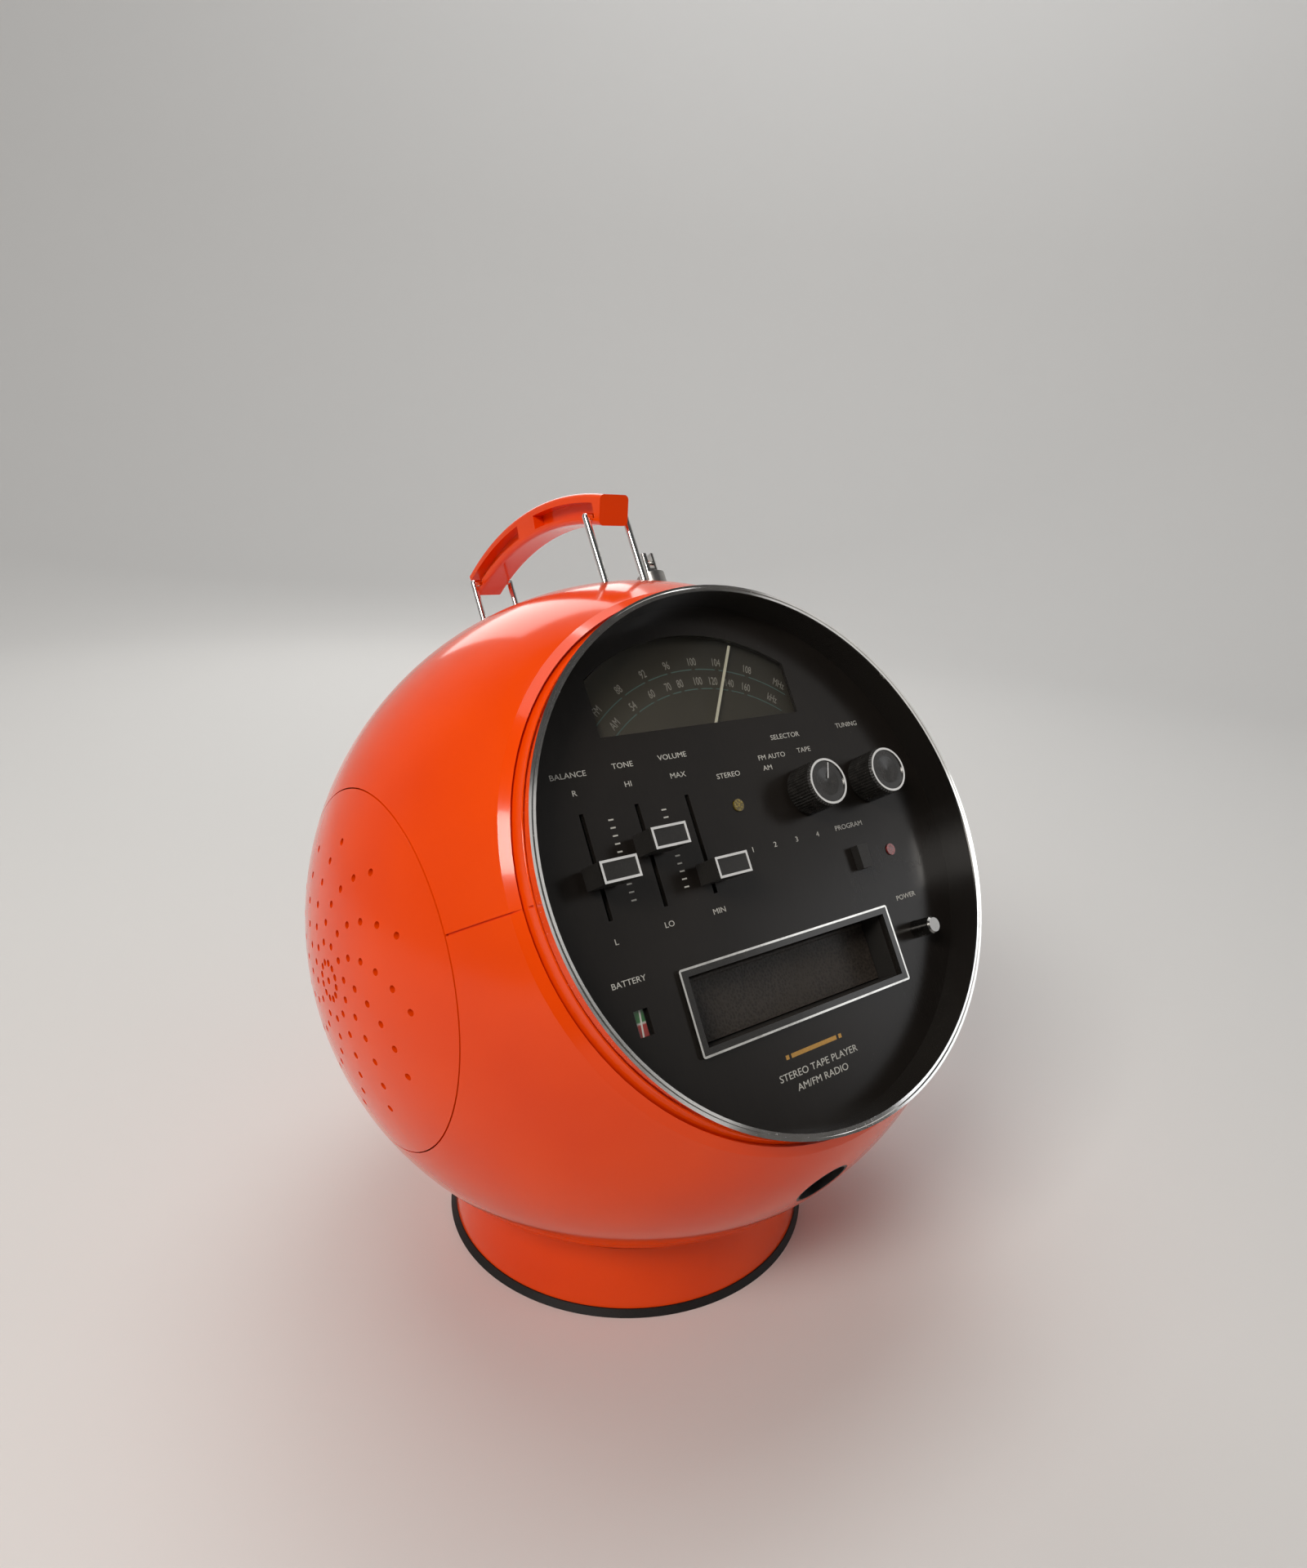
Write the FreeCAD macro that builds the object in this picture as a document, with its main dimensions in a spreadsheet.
import FreeCAD, Part
import math
import os
import re

# Spherical portable AM/FM radio with a tape cartridge player, a pull-up handle and a ring base.
# Axes of the row: +Z up, front towards -Y, origin on the floor under the middle of the globe.
# Everything inside the globe is drawn in the globe's own axes (origin at its centre, front panel
# towards -Y) and is then leaned back about X by "tilt" and lifted by "centre_height".
# All sizes are in millimetres and degrees.

DIMS = [
    ("ball_radius", 145.0, "outer radius of the globe"),
    ("ball_wall", 3.0, "thickness of the globe shells"),
    ("tilt", 33.0, "angle by which the globe leans back"),
    ("centre_height", 153.0, "height of the globe's centre above the floor"),
    ("run_gap", 0.05, "radial clearance of a running fit"),
    ("seat_gap", 0.3, "gap between curved faces that move past each other"),
    ("axis_y", -5.144, "position of the swivel axis front to back, which centres the whole object"),
    # pedestal
    ("base_foot_radius", 83.0, "outer radius of the pedestal wall at the bottom"),
    ("base_neck_radius", 81.6, "outer radius of the pedestal wall at the top"),
    ("base_inner_radius", 77.0, "inner radius of the pedestal wall"),
    ("foot_height", 2.8, "height of the rubber foot ring"),
    ("foot_proud", 2.4, "how far the foot ring stands out past the wall at the floor"),
    ("felt_thick", 1.2, "thickness of the felt glide under the globe"),
    ("plate_thick", 2.5, "thickness of the bottom plate"),
    ("stud_radius", 5.0, "radius of the swivel stud"),
    ("washer_gap", 0.4, "end play of the swivel washer"),
    # front rim and panel (depths are distances forward of the globe's centre)
    ("panel_depth", 89.9, "depth of the front panel's face"),
    ("panel_thick", 1.6, "thickness of the front panel"),
    ("well_radius", 105.4, "radius of the recess round the panel"),
    ("well_wall", 1.2, "thickness of the recess wall"),
    ("neck_depth", 99.0, "depth of the front edge of the shells' neck"),
    ("bezel_depth", 105.35, "depth of the front face of the chrome bezel"),
    ("bezel_radius", 108.0, "outer radius of the bezel's front edge"),
    ("bevel_depth", 94.0, "depth of the inner edge of the bevel on the shells"),
    ("bevel_radius", 109.3, "radius of the inner edge of the bevel"),
    ("bevel_back", 3.0, "depth of the bevel"),
    ("bevel_out", 3.7, "width of the bevel"),
    ("control_depth", 105.2, "depth of the front faces of the knobs and slider caps"),
    ("chassis_depth", 62.0, "depth of the front face of the chassis plate"),
    # speakers
    ("cap_radius", 69.8, "radius of the round speaker caps"),
    ("cap_gap", 0.5, "groove round a speaker cap"),
    ("hole_radius", 1.35, "radius of the sound holes"),
    ("hole_first", 7.0, "radius of the first ring of sound holes"),
    ("hole_step", 7.4, "spacing of the rings of sound holes"),
    ("hole_twist", 9.0, "turn of each ring of sound holes against the last"),
    ("driver_radius", 52.0, "outer radius of a speaker driver"),
    ("driver_face", 122.0, "distance of a driver's mounting face from the centre plane"),
    # controls
    ("slot_low", -11.0, "lower end of the slider slots"),
    ("slot_high", 28.0, "upper end of the slider slots"),
    ("slot_width", 1.8, "width of the slider slots"),
    ("stem_width", 1.4, "thickness of a slider's stem"),
    ("stem_height", 4.0, "height of a slider's stem"),
    ("slider_width", 15.5, "width of a slider cap"),
    ("slider_height", 8.0, "height of a slider cap"),
    ("slider_body", 12.5, "depth of a slider cap front to back"),
    ("knob_radius", 10.25, "radius of the two round knobs"),
    ("knob_height", 13.6, "height of the two round knobs"),
    ("shaft_radius", 3.0, "radius of the knob shafts"),
    ("power_radius", 3.7, "radius of the power button"),
    ("needle_length", 53.5, "length of the dial needle from its pivot"),
    ("needle_angle", 31.0, "angle of the dial needle from upright at rest"),
    ("drum_radius", 16.0, "radius of the dial drum"),
    ("tuning_pulley", 4.0, "radius of the pulley on the tuning shaft"),
    # cartridge player
    ("slot_half", 52.0, "half the inner width of the cartridge chute"),
    ("slot_floor", -62.8, "height of the chute's floor above the globe's centre"),
    ("slot_roof", -37.3, "height of the chute's roof above the globe's centre"),
    ("chute_wall", 1.5, "thickness of the chute walls"),
    ("chute_back", 8.0, "how far the chute reaches behind the centre"),
    ("flap_depth", 76.9, "depth of the middle of the flap in the slot"),
    ("flap_thick", 1.8, "thickness of the flap"),
    ("flywheel_radius", 30.0, "radius of the capstan flywheel"),
    ("pulley_radius", 5.0, "radius of the motor pulley"),
    ("belt_thick", 0.8, "thickness of the drive belt"),
    # batteries
    ("tray_half", 64.0, "half the width of the battery tray"),
    ("tray_floor", 2.9, "height of the battery tray's underside"),
    ("tray_top", 75.7, "height of the battery tray's top"),
    ("tray_front", 34.4, "front of the battery tray"),
    ("cell_radius", 16.6, "radius of a D cell"),
    ("cell_length", 60.0, "length of a D cell"),
    # handle
    ("bail_half", 10.6, "half the distance between the legs of a bail"),
    ("bail_radius", 1.6, "radius of the bail wire"),
    ("front_leg", -56.5, "front bail: position front to back"),
    ("rear_leg", 53.5, "rear bail: position front to back"),
    ("front_lift", 164.5, "height of the front bail's crosspiece at rest"),
    ("rear_lift", 185.5, "height of the rear bail's crosspiece at rest"),
    ("front_guide", 112.3, "height of the underside of the front bail guide"),
    ("rear_guide", 119.3, "height of the underside of the rear bail guide"),
    ("grip_half_width", 7.6, "half the width of the grip"),
    ("grip_inner", 161.5, "inner radius of the grip's arch"),
    ("grip_height", 13.5, "height of the grip's section"),
    ("grip_seat", 3.4, "height of the bail crosspieces above the grip's inner face"),
    ("grip_arc", 22.0, "half the angle spanned by the grip"),
    ("grip_lip", 3.0, "thickness of the grip's lower flange; the upper one is 1 mm thicker"),
    ("grip_web", 2.0, "half the thickness of the grip's middle web"),
    ("grip_slot_play", 0.12, "clearance of the rear bail in its slot"),
    ("aerial_x", 20.0, "aerial: position to the right"),
    ("aerial_y", -50.0, "aerial: position front to back"),
]
SIZE = {alias: value for alias, value, note in DIMS}
WORDS = re.compile(r"\b(" + "|".join(sorted(SIZE, key=len, reverse=True)) + r")\b")

doc = FreeCAD.newDocument("GlobeRadio")
sheet = doc.addObject("Spreadsheet::Sheet", "Dims")
for row, (alias, value, note) in enumerate(DIMS, 1):
    sheet.set("A%d" % row, alias)
    sheet.set("B%d" % row, str(value))
    sheet.set("C%d" % row, note)
    sheet.setAlias("B%d" % row, alias)
doc.recompute()

TURNS = {
    "up": FreeCAD.Rotation(),
    "back": FreeCAD.Rotation(FreeCAD.Vector(1, 0, 0), -90),
    "right": FreeCAD.Rotation(FreeCAD.Vector(0, 1, 0), 90),
}
NODES = []


def linked(text):
    """An expression in which each size is read from the sheet."""
    return WORDS.sub(r"Dims.\1", str(text))


def prim(kind, at, turn, **sizes):
    """A primitive with its place and sizes bound to expressions."""
    obj = doc.addObject("Part::" + kind, kind)
    obj.Placement = FreeCAD.Placement(FreeCAD.Vector(), TURNS[turn])
    for axis, place in zip("xyz", at):
        obj.setExpression("Placement.Base." + axis, linked(place))
    for prop, size in sizes.items():
        obj.setExpression(prop, linked(size))
    return obj


def box(x0, x1, y0, y1, z0, z1):
    """A box between two corners."""
    length, width, height = ["(%s) - (%s)" % pair for pair in ((x1, x0), (y1, y0), (z1, z0))]
    return prim("Box", (x0, y0, z0), "up", Length=length, Width=width, Height=height)


def rod(axis, a, b, start, end, radius):
    """A cylinder along x, y or z; a and b are its other two coordinates in x, y, z order."""
    at = {"x": (start, a, b), "y": (a, start, b), "z": (a, b, start)}[axis]
    turn = {"x": "right", "y": "back", "z": "up"}[axis]
    return prim("Cylinder", at, turn, Radius=radius, Height="(%s) - (%s)" % (end, start))


def cone(axis, a, b, start, end, radius0, radius1):
    """A frustum along x, y or z, from radius0 at start to radius1 at end."""
    at = {"x": (start, a, b), "y": (a, start, b), "z": (a, b, start)}[axis]
    turn = {"x": "right", "y": "back", "z": "up"}[axis]
    return prim("Cone", at, turn, Radius1=radius0, Radius2=radius1,
                Height="(%s) - (%s)" % (end, start))


def ball(radius, at=(0, 0, 0)):
    """A sphere."""
    return prim("Sphere", at, "up", Radius=radius)


def cut(base, *tools):
    """The base with each tool taken away."""
    for tool in tools:
        obj = doc.addObject("Part::Cut", "Cut")
        obj.Base = base
        obj.Tool = tool
        base = obj
    return base


def fuse(*shapes):
    """One solid from touching solids."""
    obj = doc.addObject("Part::MultiFuse", "Fusion")
    obj.Shapes = list(shapes)
    return obj


def common(a, b):
    """The material shared by two solids."""
    obj = doc.addObject("Part::MultiCommon", "Common")
    obj.Shapes = [a, b]
    return obj


def group(*shapes):
    """Separate solids kept together."""
    obj = doc.addObject("Part::Compound", "Group")
    obj.Links = list(shapes)
    return obj


def mirrored(shape):
    """The same shape on the other side of the globe."""
    obj = doc.addObject("Part::Mirroring", "Mirror")
    obj.Source = shape
    obj.Normal = FreeCAD.Vector(1, 0, 0)
    return obj


def turned(shape, axis, angle, a, b):
    """The shape turned about x or y through a point given by its other two coordinates."""
    obj = group(shape)
    vector = {"x": FreeCAD.Vector(1, 0, 0), "y": FreeCAD.Vector(0, 1, 0)}[axis]
    obj.Placement = FreeCAD.Placement(FreeCAD.Vector(), FreeCAD.Rotation(vector, 1))
    obj.setExpression("Placement.Rotation.Angle", linked(angle))
    c, s = linked("cos((%s) * 1deg)" % angle), linked("sin((%s) * 1deg)" % angle)
    a, b = linked(a), linked(b)
    first, second = {"x": ("y", "z"), "y": ("z", "x")}[axis]
    if axis == "y":
        a, b = b, a
    obj.setExpression("Placement.Base." + first, "(%s) * (1 - %s) + (%s) * %s" % (a, c, b, s))
    obj.setExpression("Placement.Base." + second, "(%s) * (1 - %s) - (%s) * %s" % (b, c, a, s))
    return obj


def softened(shape, radius, wanted):
    """The shape with rounded edges, where wanted(edge) says so."""
    doc.recompute()
    picks = [(n, radius, radius) for n, edge in enumerate(shape.Shape.Edges, 1) if wanted(edge)]
    obj = doc.addObject("Part::Fillet", "Fillet")
    obj.Base = shape
    obj.Edges = picks
    return obj


def node(label, shape, leaned=True):
    """Names a finished piece and puts it in the row's axes."""
    obj = group(shape)
    obj.Label = label
    obj.setExpression("Placement.Base.y", linked("axis_y"))
    if leaned:
        obj.Placement = FreeCAD.Placement(
            FreeCAD.Vector(0, 0, 1), FreeCAD.Rotation(FreeCAD.Vector(-1, 0, 0), 1))
        obj.setExpression("Placement.Base.z", linked("centre_height"))
        obj.setExpression("Placement.Rotation.Angle", linked("tilt"))
    NODES.append(obj)
    return obj


def along(edge, axis):
    """True for a straight edge along x, y or z."""
    if not isinstance(edge.Curve, Part.Line):
        return False
    return abs(getattr(edge.Curve.Direction, axis)) > 0.99


# ---------------------------------------------------------------- pedestal (row axes)
seat = ball("ball_radius + felt_thick", (0, 0, "centre_height"))
WALL_TOP = "(centre_height + 2.31 - sqrt((ball_radius + felt_thick) ^ 2 - base_neck_radius ^ 2))"
wall = cut(cone("z", 0, 0, "foot_height", WALL_TOP, "base_foot_radius", "base_neck_radius"),
           rod("z", 0, 0, 0, 100, "base_inner_radius"), seat)
SCREW_RING = "(base_inner_radius - 4.5) * 0.7071"
bosses = [rod("z", "%d * %s" % (sx, SCREW_RING), "%d * %s" % (sy, SCREW_RING),
              "foot_height + plate_thick", "foot_height + plate_thick + 14.7", 5) for sx in (-1, 1) for sy in (-1, 1)]
screws = [fuse(rod("z", "%d * %s" % (sx, SCREW_RING), "%d * %s" % (sy, SCREW_RING),
                   "foot_height", "foot_height + plate_thick + 9.7", 1.5),
               rod("z", "%d * %s" % (sx, SCREW_RING), "%d * %s" % (sy, SCREW_RING),
                   "foot_height - 1.6", "foot_height", 3)) for sx in (-1, 1) for sy in (-1, 1)]
screw_set = group(*screws)
node("base_ring", cut(fuse(wall, *bosses), screw_set), leaned=False)
foot = cut(cone("z", 0, 0, 0, "foot_height", "base_foot_radius + foot_proud",
                "base_foot_radius + 0.6"),
           rod("z", 0, 0, -1, 10, "base_inner_radius + 0.6"))
node("foot_ring", foot, leaned=False)
plate = cut(rod("z", 0, 0, "foot_height", "foot_height + plate_thick", "base_inner_radius"),
            rod("z", 0, 0, 0, 10, "stud_radius + run_gap"), screw_set)
node("base_plate", plate, leaned=False)
node("base_screws", screw_set, leaned=False)
felt = cut(common(seat, cut(rod("z", 0, 0, WALL_TOP + " - 14", WALL_TOP + " + 3",
                                "base_neck_radius - 0.9"),
                            rod("z", 0, 0, 10, WALL_TOP + " + 10", "base_inner_radius + 0.2"))),
           ball("ball_radius + seat_gap", (0, 0, "centre_height")))
node("felt_glide", felt, leaned=False)

# swivel stud: turns with the globe in the bottom plate
STUD_HEAD = "centre_height - ball_radius + 4.2"
stud = fuse(rod("z", 0, 0, "foot_height - washer_gap - 2", STUD_HEAD, "stud_radius"),
            rod("z", 0, 0, STUD_HEAD, STUD_HEAD + " + 2.4", 12),
            rod("z", 0, 0, "foot_height - washer_gap - 2", "foot_height - washer_gap", 9))
node("swivel_stud", stud, leaned=False)

# ---------------------------------------------------------------- globe shells
shell = cut(ball("ball_radius"), ball("ball_radius - ball_wall"))
bevel_tool = cut(rod("y", 0, 0, "-bevel_depth - 60", "-bevel_depth + bevel_back", 160),
                 cone("y", 0, 0, "-bevel_depth", "-bevel_depth + bevel_back",
                      "bevel_radius", "bevel_radius + bevel_out"))
rim = common(rod("y", 0, 0, "-bevel_depth", -84, 118), ball("ball_radius - 0.5"))
shell = cut(fuse(shell, rim), bevel_tool)
neck = cut(cone("y", 0, 0, "-neck_depth", -89.5, "bezel_radius - 0.4", "bezel_radius + 0.8"),
           rod("y", 0, 0, -150, 0, "well_radius + well_wall"))
groove = cut(rod("y", 0, 0, "-bevel_depth - 3", "-bevel_depth + 2.6", "bevel_radius"),
             rod("y", 0, 0, -150, 0, "bevel_radius - 1.1"))
shell = cut(shell, groove, rod("y", 0, 0, -150, -60, "well_radius + well_wall"))
shell = fuse(shell, neck)
for x0, x1 in ((100, 160), (-160, -100)):
    shell = cut(shell, rod("x", 0, 0, x0, x1, "cap_radius + cap_gap"))

inside = ball("ball_radius - ball_wall")
guides = [common(box("-bail_half - 6", "bail_half + 6", leg + " - 5", leg + " + 5", low, 150),
                 ball("ball_radius - 1"))
          for leg, low in (("front_leg", "front_guide"), ("rear_leg", "rear_guide"))]
guide_bores = [rod("z", "%d * bail_half" % side, leg, 90, 160, "bail_radius + run_gap")
               for side in (-1, 1) for leg in ("front_leg", "rear_leg")]
leg_holes = group(*[rod("z", "%d * bail_half" % side, leg, "ball_radius - 16", 160,
                        "bail_radius + 0.3")
                    for side in (-1, 1) for leg in ("front_leg", "rear_leg")])
aerial_hole = rod("z", "aerial_x", "aerial_y", 100, 160, 3.4)
door_hole = box("-tray_half + 2", "tray_half - 2", 60, 160, "tray_floor + 3.1", "tray_top - 3.7")
upper = common(fuse(shell, *guides), box(-200, 200, -200, 200, 0, 200))
node("upper_shell", cut(upper, group(*guide_bores), leg_holes, aerial_hole, door_hole))

JACK_Y, JACK_Z = -65.0, -129.0
JACK_LEAN = math.degrees(math.atan2(-JACK_Y, -JACK_Z))


def jack_rod(start, end, radius, dx=0):
    """A cylinder along the socket recess, measured outwards from the globe's centre."""
    return turned(rod("z", dx, 0, "-(%s)" % end, "-(%s)" % start, radius), "x", -JACK_LEAN, 0, 0)


pillars = [rod("z", x, y, -135, -66.3, 5) for x in (-50, 50) for y in (-45, 85)]
lower_half = box(-200, 200, -200, 200, -200, 0)
seam = common(cut(ball("ball_radius + 1"), ball("ball_radius - 0.9")),
              box(-200, 200, -200, 200, -0.8, 0))
lower = common(fuse(shell, *[common(p, ball("ball_radius - 1")) for p in pillars]), lower_half)
stud_hole = turned(rod("z", 0, 0, -160, -120, "stud_radius"), "x", "tilt", 0, 0)
stud_flat = turned(rod("z", 0, 0, "-(ball_radius - 4.2)", -120, 12), "x", "tilt", 0, 0)
node("lower_shell", cut(lower, seam, stud_hole, stud_flat,
                        jack_rod("ball_radius - 20", "ball_radius + 5", 12)))

cup = cut(jack_rod("ball_radius - 12", "ball_radius - 0.6", 12),
          jack_rod("ball_radius - 10", "ball_radius + 5", 10.8))
sockets = [cut(jack_rod("ball_radius - 13.5", "ball_radius - 6", 3.4, dx),
               jack_rod("ball_radius - 12.5", "ball_radius + 5", 1.9, dx)) for dx in (-5, 5)]
node("jack_cup", cut(cup, *[jack_rod("ball_radius - 15", "ball_radius", 3.4, dx)
                            for dx in (-5, 5)]))
node("jack_sockets", group(*sockets))

# ---------------------------------------------------------------- front rim and panel
posts = [rod("y", sx * 69.6, sz * 69.6, -86.2, "-chassis_depth", 3.5)
         for sx in (-1, 1) for sz in (-1, 1)]
well = cut(rod("y", 0, 0, "-bezel_depth + 0.8", -86, "well_radius + well_wall"),
           rod("y", 0, 0, -150, "-panel_depth + panel_thick", "well_radius"),
           rod("y", 0, 0, -150, 0, 97))
node("panel_surround", fuse(well, *posts))
bezel = cut(cone("y", 0, 0, "-bezel_depth", "-neck_depth", "bezel_radius", "bezel_radius - 0.7"),
            rod("y", 0, 0, -150, 0, "well_radius"),
            rod("y", 0, 0, "-bezel_depth + 0.8", 0, "well_radius + well_wall"),
            cut(rod("y", 0, 0, -150, "-bezel_depth + 0.6", "bezel_radius - 0.9"),
                rod("y", 0, 0, -150, 0, "bezel_radius - 1.6")))
node("bezel_ring", bezel)

FRONT, BACK = "-panel_depth", "-panel_depth + panel_thick"
WINDOW = (-8.5, 2.5, 90.5)


def window(front, back):
    """The dial window's outline: an arched top over a straight sill."""
    return common(rod("y", WINDOW[0], WINDOW[1], front, back, WINDOW[2]),
                  box(-58.5, 43, front, back, 54.8, 120))


SLIDERS = [("balance", -75.5, 4.3), ("tone", -51.3, 12.0), ("volume", -27.8, -3.4)]
KNOBS = [("selector", 32.0, 20.0), ("tuning", 68.5, 20.0)]
STEREO, TAPE_LAMP, POWER, PROGRAM = (-4.5, 20.0), (70.7, -12.2), (70.7, -47.9), (50.8, -12.2)
METER = (-74.0, -47.4)
panel = cut(rod("y", 0, 0, FRONT, BACK, "well_radius"), window(-95, -80))
for name, x, z in SLIDERS:
    panel = cut(panel, box("%s - slot_width / 2" % x, "%s + slot_width / 2" % x, -95, -80,
                           "slot_low", "slot_high"))
for name, x, z in KNOBS:
    panel = cut(panel, rod("y", x, z, -95, -80, "shaft_radius + 0.3"))
for x, z in (STEREO, TAPE_LAMP):
    panel = cut(panel, rod("y", x, z, -95, -80, 2.5))
panel = cut(panel, rod("y", POWER[0], POWER[1], -95, -80, "power_radius + 0.1"),
            box(PROGRAM[0] - 3.1, PROGRAM[0] + 3.1, -95, -80, PROGRAM[1] - 5.1, PROGRAM[1] + 5.1),
            box(METER[0] - 3, METER[0] + 3, -95, -80, METER[1] - 4.6, METER[1] + 4.6),
            box("-slot_half", "slot_half", -95, -80, "slot_floor", "slot_roof"))
node("front_panel", panel)
node("dial_window", window(FRONT, BACK))
scale = common(box(-63, 47, -85.6, -84.8, 34, 110), rod("y", 0, 0, -90, -80, 96.5))
scale = cut(scale, rod("y", WINDOW[0], 42, -90, -80, 3))
node("dial_plate", fuse(scale, *[rod("y", x, z, -84.8, "-chassis_depth", 2.5)
                                 for x, z in ((-56, 62), (40, 62), (-8.5, 88))]))
for name, spot in (("stereo_lamp", STEREO), ("tape_lamp", TAPE_LAMP)):
    node(name, fuse(rod("y", spot[0], spot[1], "-panel_depth - 0.6", -80, 2.5),
                    rod("y", spot[0], spot[1], BACK, -84, 3.6)))
node("battery_meter", box(METER[0] - 6, METER[0] + 6, BACK, -70, METER[1] - 6, METER[1] + 6))

# ---------------------------------------------------------------- sliders
SLIDER_FRONT = "-control_depth"
SLIDER_BACK = "-control_depth + slider_body"
pots = []
for name, x, z in SLIDERS:
    half_w, half_h = "slider_width / 2", "slider_height / 2"
    cap = box("%s - %s" % (x, half_w), "%s + %s" % (x, half_w), SLIDER_FRONT, SLIDER_BACK,
              "%s - %s" % (z, half_h), "%s + %s" % (z, half_h))
    rim_in = box("%s - %s + 0.9" % (x, half_w), "%s + %s - 0.9" % (x, half_w),
                 -120, SLIDER_FRONT + " + 1",
                 "%s - %s + 0.9" % (z, half_h), "%s + %s - 0.9" % (z, half_h))
    band = box(x - 40, x + 40, -120, SLIDER_FRONT + " + 1", z - 40, z + 40)
    trim = cut(common(cap, band), rim_in)
    core = cut(cap, trim, box(x - 30, x + 30, -120, SLIDER_FRONT + " + 0.3", z - 30, z + 30))
    stem = box("%s - stem_width / 2" % x, "%s + stem_width / 2" % x, SLIDER_BACK, -80.5,
               "%s - stem_height / 2" % z, "%s + stem_height / 2" % z)
    node(name + "_slider", fuse(core, stem))
    node(name + "_trim", trim)
    pot = box(x - 5, x + 5, BACK, -78.5, "slot_low - 6", "slot_high + 6")
    pots.append(cut(pot, box("%s - stem_width / 2 - 0.08" % x, "%s + stem_width / 2 + 0.08" % x,
                             -95, -80, "slot_low", "slot_high")))

# ---------------------------------------------------------------- knobs and dial drive
KNOB_BACK = "-control_depth + knob_height"
ENDS = {"selector": -74, "tuning": -65.5}
for name, x, z in KNOBS:
    body = fuse(rod("y", x, z, "-control_depth + 0.8", KNOB_BACK, "knob_radius"),
                cone("y", x, z, "-control_depth", "-control_depth + 0.8",
                     "knob_radius - 0.5", "knob_radius"),
                rod("y", x, z, "-control_depth + 1", ENDS[name], "shaft_radius"))
    ring = cut(rod("y", x, z, "-control_depth - 0.5", "-control_depth + 0.7", "knob_radius - 0.6"),
               rod("y", x, z, -120, 0, "knob_radius - 1.5"))
    body = cut(body, ring, cone("y", x, z, "-control_depth - 0.3", "-control_depth + 0.6",
                                "knob_radius - 1.5", 0.4))
    if name == "tuning":
        body = fuse(body, rod("y", x, z, -71, -66.5, "tuning_pulley"))
    node(name + "_knob", body)
    node(name + "_ring", ring)
housings = []
for x, z, half, back in ((KNOBS[0][1], KNOBS[0][2], 12, -75.5), (KNOBS[1][1], KNOBS[1][2], 9, -77)):
    housings.append(cut(box(x - half, x + half, BACK, back, z - half, z + half),
                        rod("y", x, z, -95, -60, "shaft_radius + run_gap")))
housings.append(box(POWER[0] - 8, POWER[0] + 8, -76, "-chassis_depth", POWER[1] - 8, POWER[1] + 8))
housings.append(box(PROGRAM[0] - 6, PROGRAM[0] + 6, -77, "-chassis_depth",
                    PROGRAM[1] - 8, PROGRAM[1] + 8))
node("panel_controls", group(*(pots + housings)))

power = fuse(rod("y", POWER[0], POWER[1], -99.6, -80, "power_radius"),
             cone("y", POWER[0], POWER[1], -100.3, -99.6, "power_radius - 0.7", "power_radius"),
             rod("y", POWER[0], POWER[1], -84, -80, "power_radius + 1.2"))
node("power_button", power)
program = fuse(box(PROGRAM[0] - 3, PROGRAM[0] + 3, -93.9, -81, PROGRAM[1] - 5, PROGRAM[1] + 5),
               box(PROGRAM[0] - 4, PROGRAM[0] + 4, -84.5, -81, PROGRAM[1] - 6, PROGRAM[1] + 6))
node("program_button", program)

PIVOT = (-8.5, 42.0)
blade = fuse(box(PIVOT[0] - 0.5, PIVOT[0] + 0.5, -87.5, -86.9, PIVOT[1], "%s + needle_length" % PIVOT[1]),
             rod("y", PIVOT[0], PIVOT[1], -87.5, -86.1, 3.5))
arbor = rod("y", PIVOT[0], PIVOT[1], -87.2, -59, 1.5)
drum = fuse(rod("y", PIVOT[0], PIVOT[1], -71, -70, "drum_radius + 1"),
            rod("y", PIVOT[0], PIVOT[1], -70.5, -67, "drum_radius"),
            rod("y", PIVOT[0], PIVOT[1], -67.5, -66.5, "drum_radius + 1"))
node("dial_needle", turned(fuse(blade, arbor, drum), "y", "needle_angle", PIVOT[0], PIVOT[1]))

# ---------------------------------------------------------------- chassis and electronics
chassis = rod("y", 0, 0, "-chassis_depth", "-chassis_depth + 1.5", 103)
chassis = cut(chassis, box("-slot_half - 2", "slot_half + 2", -80, -50, -67, "slot_roof + 2"),
              rod("y", PIVOT[0], PIVOT[1], -80, -50, "1.5 + run_gap"))
BOARD = "-chassis_depth + 8"
corners = [(x, z) for x in (-60, 60) for z in (-20, 57)]
chassis = fuse(chassis, *[rod("y", x, z, "-chassis_depth + 1.4", BOARD, 3) for x, z in corners])
node("chassis_plate", chassis)
board = box(-66, 66, BOARD, BOARD + " + 1.6", -26, 62)
node("main_board", board)
PARTS_ON_BOARD = [
    ("can", -50, 45, 9, 16), ("can", -28, 48, 7, 14), ("can", 44, 40, 8, 17), ("can", 10, 10, 5, 12),
    ("can", -40, -8, 5, 12), ("block", -10, 30, 12, 10), ("block", 26, 18, 9, 8),
    ("block", -48, 18, 7, 9), ("block", 50, 5, 8, 12), ("block", 0, -12, 14, 5),
    ("block", 30, -14, 5, 11), ("block", -20, 8, 5, 6), ("can", 55, -15, 4, 11), ("can", 8, 50, 6, 11)]
on_board = []
for kind, x, z, half, tall in PARTS_ON_BOARD:
    rise = BOARD + " + 1.6 + %s" % tall
    if kind == "can":
        on_board.append(rod("y", x, z, BOARD + " + 1.6", rise, half))
    else:
        on_board.append(box(x - half, x + half, BOARD + " + 1.6", rise, z - 5, z + 5))
for x in (-45, -2):
    on_board.append(cut(box(x - 2, x + 2, BOARD + " + 1.6", -38, 58, 75.5),
                        rod("x", -44, 69, x - 5, x + 5, 4)))
node("board_parts", group(*on_board))
node("ferrite_rod", rod("x", -44, 69, -58, 10, 4))

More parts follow.
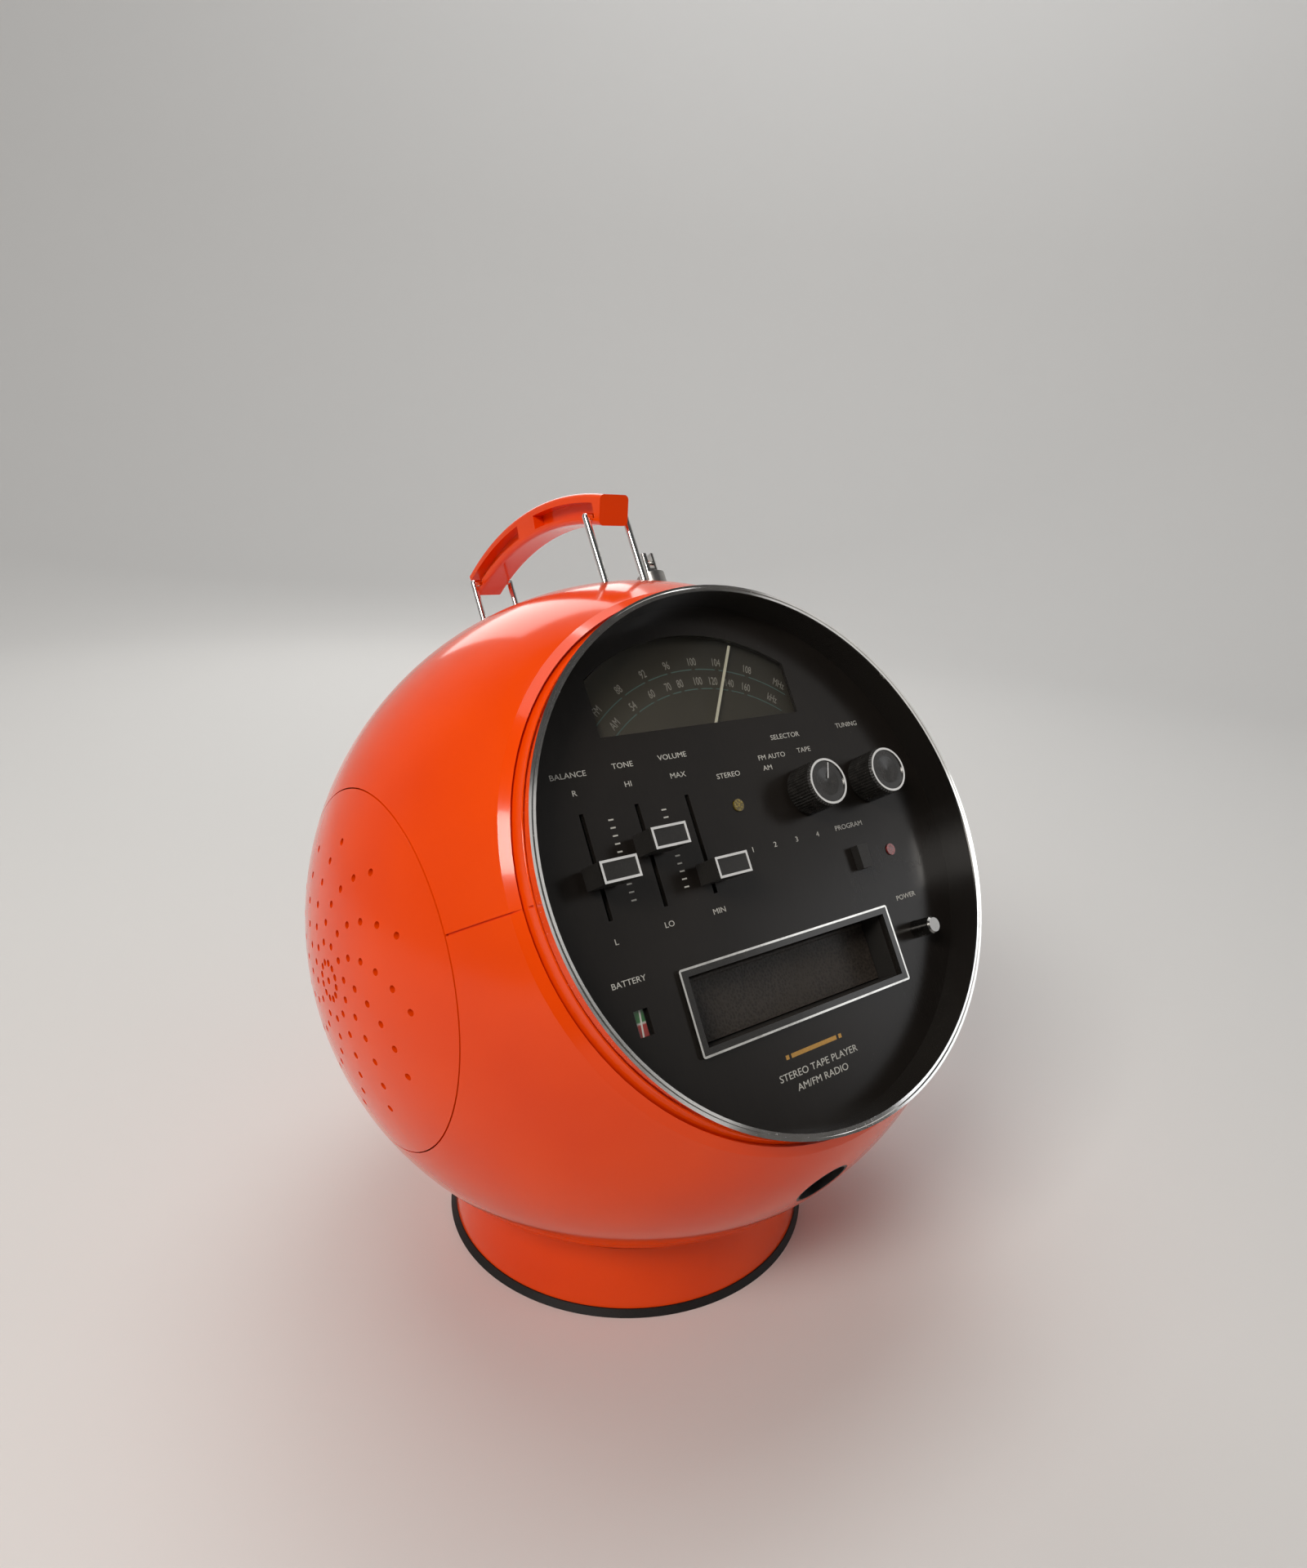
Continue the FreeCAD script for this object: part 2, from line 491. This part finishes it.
# ---------------------------------------------------------------- cartridge player
chute = fuse(box("-slot_half - chute_wall", "slot_half + chute_wall", BACK, "chute_back",
                 "slot_floor - chute_wall", "slot_roof + chute_wall"),
             box("-slot_half - 5", "slot_half + 5", BACK, BACK + " + 1.5",
                 "slot_floor - 5", "slot_roof + 5"))
chute = cut(chute, box("-slot_half", "slot_half", -100, 20, "slot_floor", "slot_roof"),
            rod("x", "-flap_depth", "slot_roof - 1.5", -60, 60, "1.0 + run_gap"))
node("cartridge_chute", chute)
frame = cut(box("-slot_half - 3.4", "slot_half + 3.4", FRONT + " - 1.7", FRONT,
                "slot_floor - 3.2", "slot_roof + 3.2"),
            box("-slot_half", "slot_half", -100, 20, "slot_floor", "slot_roof"))
frame = softened(frame, 1.0, lambda e: along(e, "y") and abs(e.BoundBox.XMin) > SIZE["slot_half"] + 2)
node("slot_frame", frame)
flap = fuse(box("-slot_half + 0.4", "slot_half - 0.4", "-flap_depth - flap_thick / 2",
                "-flap_depth + flap_thick / 2", "slot_floor + 0.5", "slot_roof - 1.5"),
            rod("x", "-flap_depth", "slot_roof - 1.5", "-slot_half + 0.4", "slot_half - 0.4", 1.3),
            rod("x", "-flap_depth", "slot_roof - 1.5", "-slot_half - 1.3", "slot_half + 1.3", 1.0))
node("slot_flap", flap)

DECK_TOP = "slot_floor - chute_wall"
WHEEL, MOTOR = (-15.0, 16.0), (38.0, 32.0)
deck = cut(box(-58, 58, "-chassis_depth + 1.5", 100, DECK_TOP + " - 2", DECK_TOP),
           rod("z", WHEEL[0], WHEEL[1], -80, -50, "2 + run_gap"),
           rod("z", MOTOR[0], MOTOR[1], -80, -50, 3))
node("deck_plate", deck)
motor = cut(rod("z", MOTOR[0], MOTOR[1], DECK_TOP, -36, 15),
            rod("z", MOTOR[0], MOTOR[1], -80, -52, "1 + run_gap"))
tape_head = box(8, 20, 10, 15.5, DECK_TOP, -48)
node("deck_motor", group(motor, tape_head))
node("power_transformer", fuse(box(-24, 24, 66, 94, DECK_TOP, -30), box(-16, 16, 58, 98, -58, -36)))
node("flywheel", fuse(rod("z", WHEEL[0], WHEEL[1], -81, -72, "flywheel_radius"),
                      rod("z", WHEEL[0], WHEEL[1], -72.5, -44, 2)))
node("motor_pulley", fuse(rod("z", MOTOR[0], MOTOR[1], -81, -72, "pulley_radius"),
                          rod("z", MOTOR[0], MOTOR[1], -72.5, -53, 1)))


def loop_face(gap):
    """A face bounded by two arcs and their outer tangents, round the flywheel and the pulley."""
    reach = math.hypot(MOTOR[0] - WHEEL[0], MOTOR[1] - WHEEL[1])
    big, small = SIZE["flywheel_radius"] + gap, SIZE["pulley_radius"] + gap
    heading = math.atan2(MOTOR[1] - WHEEL[1], MOTOR[0] - WHEEL[0])
    spread = math.acos((big - small) / reach)
    middle = -76.5

    def spot(centre, radius, angle):
        return FreeCAD.Vector(centre[0] + radius * math.cos(angle),
                              centre[1] + radius * math.sin(angle), middle - 2)

    a, b = heading + spread, heading - spread
    edges = [
        Part.Arc(spot(WHEEL, big, a), spot(WHEEL, big, heading + math.pi), spot(WHEEL, big, b)).toShape(),
        Part.makeLine(spot(WHEEL, big, b), spot(MOTOR, small, b)),
        Part.Arc(spot(MOTOR, small, b), spot(MOTOR, small, heading), spot(MOTOR, small, a)).toShape(),
        Part.makeLine(spot(MOTOR, small, a), spot(WHEEL, big, a))]
    return Part.Face(Part.Wire(edges))


belt = doc.addObject("Part::Feature", "Belt")
outer = loop_face(SIZE["seat_gap"] + SIZE["belt_thick"]).extrude(FreeCAD.Vector(0, 0, 4))
belt.Shape = outer.cut(loop_face(SIZE["seat_gap"]).extrude(FreeCAD.Vector(0, 0, 4)))
node("drive_belt", belt)

# ---------------------------------------------------------------- batteries
tray = common(box("-tray_half", "tray_half", "tray_front", 140, "tray_floor", "tray_top"), inside)
tray = cut(tray, box("-tray_half + 2", "tray_half - 2", "tray_front + 2", 140,
                     "tray_floor + 2", "tray_top - 2"))
node("battery_tray", tray)
cells = []
for x in (-1, 1):
    for y in (1, 3):
        for z in ("tray_floor + 2 + cell_radius + 0.4", "tray_top - 2 - cell_radius - 0.4"):
            start = "0.6" if x > 0 else "-cell_length - 0.6"
            cells.append(rod("x", "tray_front + 2.4 + %d * cell_radius" % y, z,
                             start, start + " + cell_length", "cell_radius"))
node("battery_cells", group(*cells))
door = common(cut(ball("ball_radius"), ball("ball_radius - ball_wall")),
              box("-tray_half + 2.3", "tray_half - 2.3", 60, 160, "tray_floor + 3.4", "tray_top - 4"))
node("battery_door", door)

# ---------------------------------------------------------------- speakers
blank = common(cut(ball("ball_radius"), ball("ball_radius - ball_wall")),
               rod("x", 0, 0, 100, 160, "cap_radius"))
flange = common(cut(ball("ball_radius - ball_wall"), ball("ball_radius - ball_wall - 2")),
                cut(rod("x", 0, 0, 90, 160, "cap_radius + 5"), rod("x", 0, 0, 80, 170, 64)))
holes = [rod("x", 0, 0, 90, 160, "hole_radius")]
for arm in range(12):
    for ring in range(7):
        reach = "(hole_first + hole_step * %d)" % ring
        angle = "((%d + hole_twist * %d) * 1deg)" % (30 * arm, ring)
        holes.append(rod("x", "%s * cos(%s)" % (reach, angle), "%s * sin(%s)" % (reach, angle),
                         90, 160, "hole_radius"))
feet = [common(rod("x", 49 * sy, 0, "driver_face", 150, 2.4), ball("ball_radius - 1")) for sy in (-1, 1)]
feet += [common(rod("x", 0, 49 * sz, "driver_face", 150, 2.4), ball("ball_radius - 1")) for sz in (-1, 1)]
hole_set = group(*holes)
cap = fuse(cut(fuse(blank, flange), hole_set), *feet)
basket = fuse(cut(rod("x", 0, 0, "driver_face - 2", "driver_face", "driver_radius"),
                  rod("x", 0, 0, 90, 160, "driver_radius - 8")),
              cut(cone("x", 0, 0, "driver_face - 20", "driver_face - 2", 24, "driver_radius - 6"),
                  cone("x", 0, 0, "driver_face - 19.9", "driver_face - 1.9",
                       22.5, "driver_radius - 8"),
                  rod("y", "driver_face - 11", 0, -80, 80, 6), rod("z", "driver_face - 11", 0, -80, 80, 6)),
              rod("x", 0, 0, "driver_face - 36", "driver_face - 19.8", 28))
paper = cut(cone("x", 0, 0, "driver_face - 17", "driver_face - 0.6", 11, "driver_radius - 8.2"),
            cone("x", 0, 0, "driver_face - 16.4", "driver_face", 11, "driver_radius - 8.2"))
dust = common(ball(16, ("driver_face - 26", 0, 0)), rod("x", 0, 0, "driver_face - 17", 150, 11.2))
paper = fuse(paper, dust)
for side, make in (("right", lambda s: s), ("left", mirrored)):
    node("speaker_cap_" + side, make(cap))
    node("speaker_" + side, make(basket))
    node("speaker_cone_" + side, make(paper))

# ---------------------------------------------------------------- handle
for name, leg, lift, low in (("front_bail", "front_leg", "front_lift", "front_guide"),
                             ("rear_bail", "rear_leg", "rear_lift", "rear_guide")):
    pieces = [rod("x", leg, lift, "-bail_half", "bail_half", "bail_radius")]
    for side in ("-bail_half", "bail_half"):
        pieces += [rod("z", side, leg, low + " - 0.3 - 1.5", lift, "bail_radius"),
                   ball("bail_radius", (side, leg, lift)),
                   rod("z", side, leg, low + " - 0.3 - 1.5", low + " - 0.3", "bail_radius + 1.4")]
    node(name, fuse(*pieces))

GRIP_Y = "(front_leg + 56)"
GRIP_Z = "(front_lift - sqrt((grip_inner + grip_seat) ^ 2 - 56 ^ 2))"
OUTER = "grip_inner + grip_height"
W = "grip_half_width"
arch = cut(rod("x", GRIP_Y, GRIP_Z, "-" + W, W, OUTER), rod("x", GRIP_Y, GRIP_Z, -50, 50, "grip_inner"))
arch = common(arch, box(-50, 50, GRIP_Y + " - 100", GRIP_Y + " + 100", GRIP_Z + " + 100", 400))
arch = cut(arch, *[turned(box(-60, 60, y0, y1, GRIP_Z, 400), "x", angle, GRIP_Y, GRIP_Z)
                   for y0, y1, angle in ((GRIP_Y + " - 200", GRIP_Y, "grip_arc"),
                                         (GRIP_Y, GRIP_Y + " + 200", "-grip_arc"))])
arch = softened(arch, 2.2, lambda e: e.BoundBox.YLength > 80)
pocket_ring = cut(rod("x", GRIP_Y, GRIP_Z, -50, 50, OUTER + " - grip_lip - 1"),
                  rod("x", GRIP_Y, GRIP_Z, -60, 60, "grip_inner + grip_lip"))
for y0, y1 in ((" - 58", " - 8"), (" + 8", " + 80")):
    for x0, x1 in (("grip_web", "50"), ("-50", "-grip_web")):
        pocket = common(pocket_ring, box(x0, x1, GRIP_Y + y0, GRIP_Y + y1, 0, 400))
        arch = cut(arch, pocket)
REACH = "(sqrt((rear_leg - front_leg) ^ 2 + (rear_lift - front_lift) ^ 2))"
SPAN = "(rear_leg - front_leg)"
arch = cut(arch, rod("x", "front_leg", "front_lift", -50, 50, "bail_radius + run_gap"),
           rod("x", "front_leg + " + SPAN, "front_lift", -50, 50, "bail_radius + grip_slot_play"),
           rod("x", "front_leg + " + REACH, "front_lift", -50, 50, "bail_radius + grip_slot_play"),
           box(-50, 50, "front_leg + " + SPAN, "front_leg + " + REACH,
               "front_lift - bail_radius - grip_slot_play", "front_lift + bail_radius + grip_slot_play"))
GRIP_TILT = math.degrees(math.atan2(SIZE["rear_lift"] - SIZE["front_lift"],
                                    SIZE["rear_leg"] - SIZE["front_leg"]))
node("handle_grip", turned(arch, "x", GRIP_TILT, "front_leg", "front_lift"))

# ---------------------------------------------------------------- aerial
AX, AY = "aerial_x", "aerial_y"
tube = cut(rod("z", AX, AY, 66, 138.4, 3.2), rod("z", AX, AY, 67, 160, "2.4 + run_gap"))
collar = cut(rod("z", AX, AY, 128, 138.4, 6.5), ball("ball_radius"),
             rod("z", AX, AY, 60, 160, 3.2))
node("aerial_tube", fuse(tube, collar))
knuckle = box(AX + " - 3.4", AX + " + 3.4", AY + " - 3.2", AY + " + 3.2", 139.2, 148.5)
knuckle = softened(knuckle, 1.2, lambda e: along(e, "z"))
head = fuse(rod("z", AX, AY, 68, 139.5, 2.4), rod("z", AX, AY, 138.7, 139.9, 3.8), knuckle)
head = cut(head, box(AX + " - 1.3", AX + " + 1.3", AY + " - 5", AY + " + 5", 141, 160))
head = fuse(head, rod("x", AY, 145, AX + " - 4", AX + " + 4", 1.1))
node("aerial_mast", head)

# ---------------------------------------------------------------- checks and export
doc.recompute()
for obj in doc.Objects:
    if "Invalid" in obj.State or "Error" in obj.State:
        raise RuntimeError("%s (%s) is %s" % (obj.Label, obj.Name, obj.State))
    if hasattr(obj, "Shape") and (obj.Shape.isNull() or not obj.Shape.isValid()):
        raise RuntimeError("%s (%s) has a bad shape" % (obj.Label, obj.Name))
os.makedirs("parts", exist_ok=True)
for obj in NODES:
    solids = obj.Shape.Solids
    if not solids:
        raise RuntimeError("%s has no solid" % obj.Label)
    shape = solids[0] if len(solids) == 1 else Part.makeCompound(solids)
    shape.exportStep("parts/%s.step" % obj.Label)
    print("%-18s %2d solids  %9.1f mm3" % (obj.Label, len(solids), shape.Volume))
print(len(NODES), "nodes")
